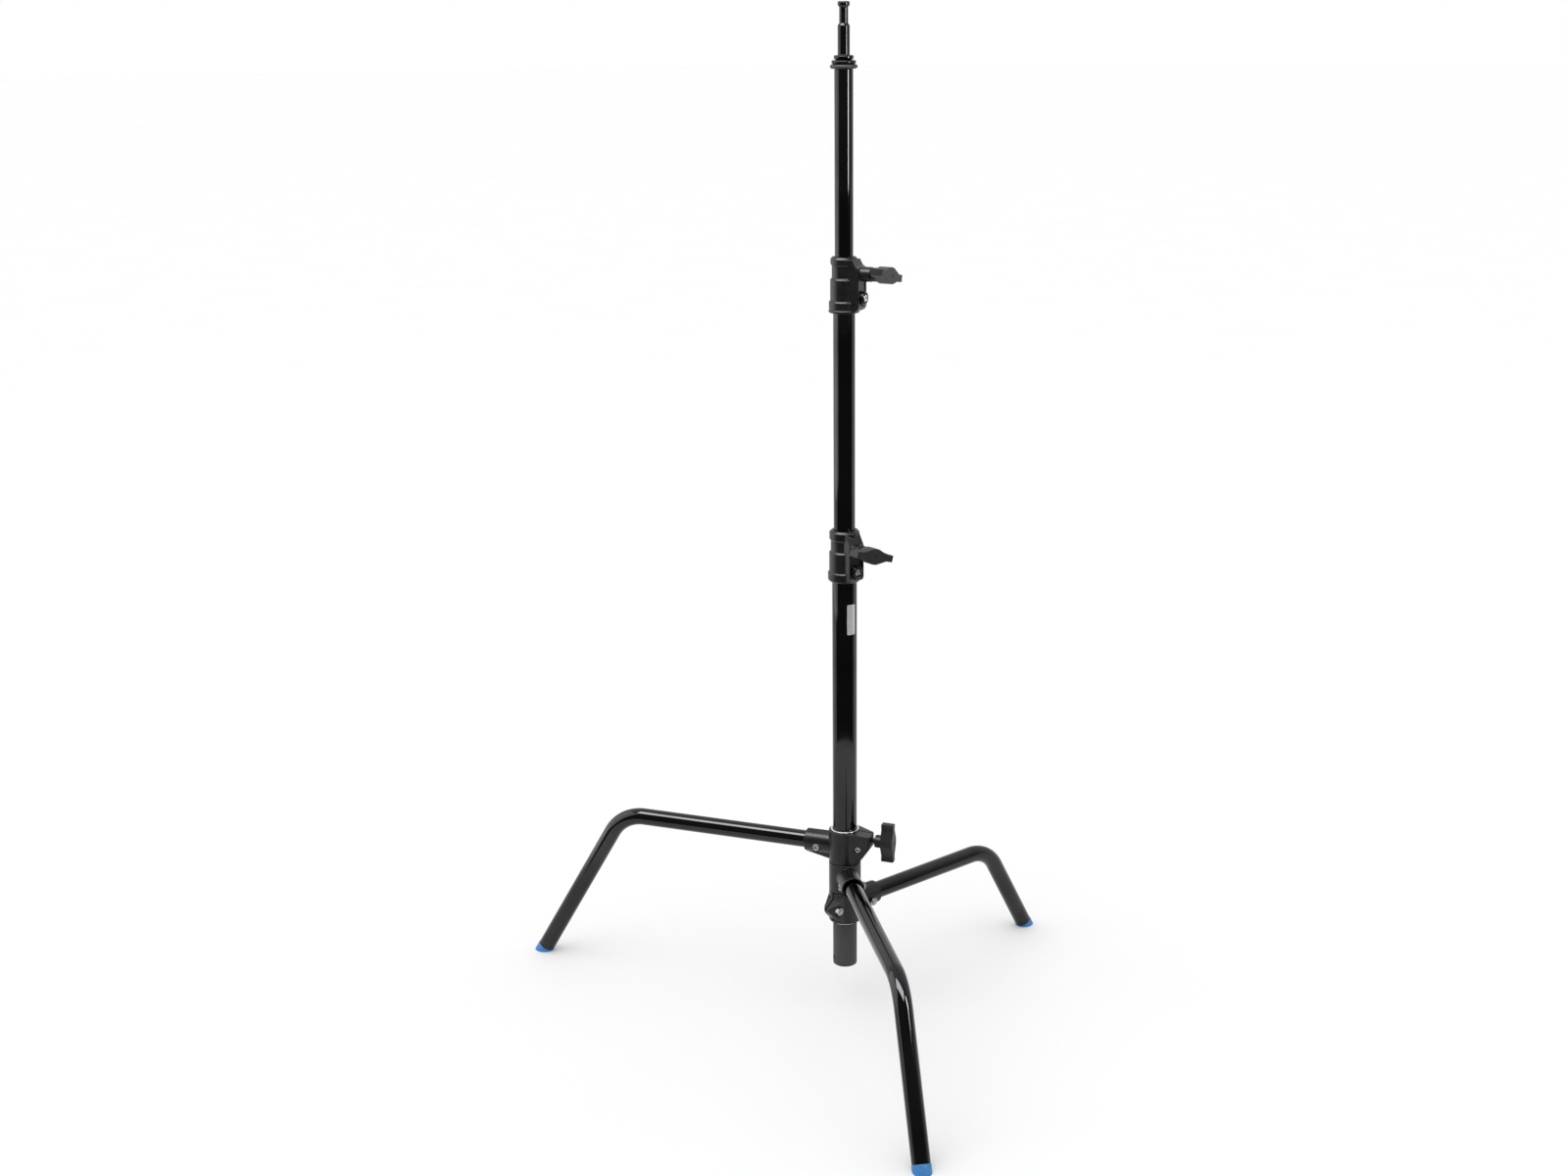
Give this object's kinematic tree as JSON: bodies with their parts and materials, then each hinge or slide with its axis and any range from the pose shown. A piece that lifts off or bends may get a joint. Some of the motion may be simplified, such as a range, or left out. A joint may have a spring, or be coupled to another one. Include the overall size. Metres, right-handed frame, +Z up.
{
  "type": "century stand",
  "caption": "Lighting stand with nested folding legs on a turtle base, a lift-out column, sliding risers locked by T-handles, and a baby pin on top.",
  "frame": {"origin": "middle of the bounding footprint, on the floor under the feet; the column stands at x 0.1256, y 0.0393", "axes": "+Z up the column towards the baby pin; -X from the column towards the foot of the highest leg"},
  "size_m": [0.7672, 0.7748, 1.4246],
  "materials": {
    "black_chrome": "glossy black chrome plating",
    "casting": "satin textured black",
    "post_paint": "matt dark grey",
    "handle_plastic": "satin black",
    "zinc": "bright zinc plating",
    "black_steel": "black oxide",
    "ring_rubber": "matt black",
    "blue_vinyl": "smooth blue vinyl",
    "nylon": "natural nylon",
    "label_metal": "thin silver label, blank"
  },
  "bodies": {
    "base": {"base_post": "post_paint", "post_top_ring": "zinc", "bottom_washer": "zinc", "retaining_ring": "black_steel", "upper_thrust_washer": "black_steel", "lower_thrust_washer": "black_steel", "top_hub": "casting", "top_leg_tube": "black_chrome", "top_foot_cap": "blue_vinyl", "top_leg_bolt": "zinc", "top_leg_nut": "zinc", "top_clamp_bolt": "zinc", "top_clamp_nut": "zinc"},
    "middle_leg": {"middle_hub": "casting", "middle_leg_tube": "black_chrome", "middle_foot_cap": "blue_vinyl", "middle_leg_bolt": "zinc", "middle_leg_nut": "zinc", "middle_clamp_bolt": "zinc", "middle_clamp_nut": "zinc"},
    "low_leg": {"low_hub": "casting", "low_leg_tube": "black_chrome", "low_foot_cap": "blue_vinyl", "low_leg_bolt": "zinc", "low_leg_nut": "zinc", "low_clamp_bolt": "zinc", "low_clamp_nut": "zinc"},
    "column_pad": {"column_brake_pad": "nylon"},
    "column_knob": {"column_knob_screw": "zinc", "column_knob_handle": "handle_plastic"},
    "column": {"column_spigot": "black_steel", "spigot_rivet": "black_steel", "base_column": "black_chrome", "column_label": "label_metal", "lower_collar": "casting", "lower_collar_bolt": "black_steel", "lower_collar_washer": "black_steel"},
    "lower_pad": {"lower_brake_pad": "nylon"},
    "lower_knob": {"lower_handle_screw": "zinc", "lower_handle": "handle_plastic"},
    "riser_1_runner": {"riser_1_bush": "nylon"},
    "riser_1": {"riser_1_tube": "black_chrome", "upper_collar": "casting", "upper_collar_bolt": "black_steel", "upper_collar_washer": "black_steel"},
    "upper_pad": {"upper_brake_pad": "nylon"},
    "upper_knob": {"upper_handle_screw": "zinc", "upper_handle": "handle_plastic"},
    "riser_2_runner": {"riser_2_bush": "nylon"},
    "riser_2": {"riser_2_tube": "black_chrome", "buffer_ring": "ring_rubber", "flange_ring": "black_steel", "baby_pin": "black_chrome", "pin_rivet": "black_steel"}
  },
  "joints": [
    {"name": "middle_leg_swing", "type": "hinge", "parent": "base", "child": "middle_leg", "pos_m": [0.1256, 0.0393, 0.2011], "axis": [0, 0, 1], "range_deg": [-115, 0]},
    {"name": "low_leg_swing", "type": "hinge", "parent": "base", "child": "low_leg", "pos_m": [0.1256, 0.0393, 0.1551], "axis": [0, 0, 1], "range_deg": [0, 119.7]},
    {"name": "column_pad_press", "type": "slide", "parent": "base", "child": "column_pad", "axis": [1, 0, 0], "range_m": [0, 0.0019]},
    {"name": "column_knob_turn", "type": "hinge", "parent": "column_pad", "child": "column_knob", "pos_m": [0.1856, 0.0393, 0.258], "axis": [1, 0, 0], "range_deg": [0, 540]},
    {"name": "column_lift", "type": "slide", "parent": "base", "child": "column", "axis": [0, 0, 1], "range_m": [0, 0.12]},
    {"name": "lower_pad_press", "type": "slide", "parent": "column", "child": "lower_pad", "axis": [0.8396, -0.5432, 0], "range_m": [0, 0.0019]},
    {"name": "lower_handle_turn", "type": "hinge", "parent": "lower_pad", "child": "lower_knob", "pos_m": [0.16758, 0.01214, 0.6936], "axis": [0.8396, -0.5432, 0], "range_deg": [0, 540]},
    {"name": "riser_1_slide", "type": "slide", "parent": "column", "child": "riser_1_runner", "axis": [0, 0, 1], "range_m": [-0.3, 0.03]},
    {"name": "riser_1_turn", "type": "hinge", "parent": "riser_1_runner", "child": "riser_1", "pos_m": [0.1256, 0.0393, 0.9], "axis": [0, 0, 1], "continuous": true},
    {"name": "upper_pad_press", "type": "slide", "parent": "riser_1", "child": "upper_pad", "axis": [0.9914, -0.1305, 0], "range_m": [0, 0.0019]},
    {"name": "upper_handle_turn", "type": "hinge", "parent": "upper_pad", "child": "upper_knob", "pos_m": [0.17517, 0.03277, 1.074], "axis": [0.9914, -0.1305, 0], "range_deg": [0, 540]},
    {"name": "riser_2_slide", "type": "slide", "parent": "riser_1", "child": "riser_2_runner", "axis": [0, 0, 1], "range_m": [-0.243, 0.13]},
    {"name": "riser_2_turn", "type": "hinge", "parent": "riser_2_runner", "child": "riser_2", "pos_m": [0.1256, 0.0393, 1.2], "axis": [0, 0, 1], "continuous": true}
  ],
  "couplings": [
    {"joint": "column_pad_press", "follows": "column_knob_turn", "m_per_rad": 0.000199},
    {"joint": "lower_pad_press", "follows": "lower_handle_turn", "m_per_rad": 0.000199},
    {"joint": "upper_pad_press", "follows": "upper_handle_turn", "m_per_rad": 0.000199}
  ]
}
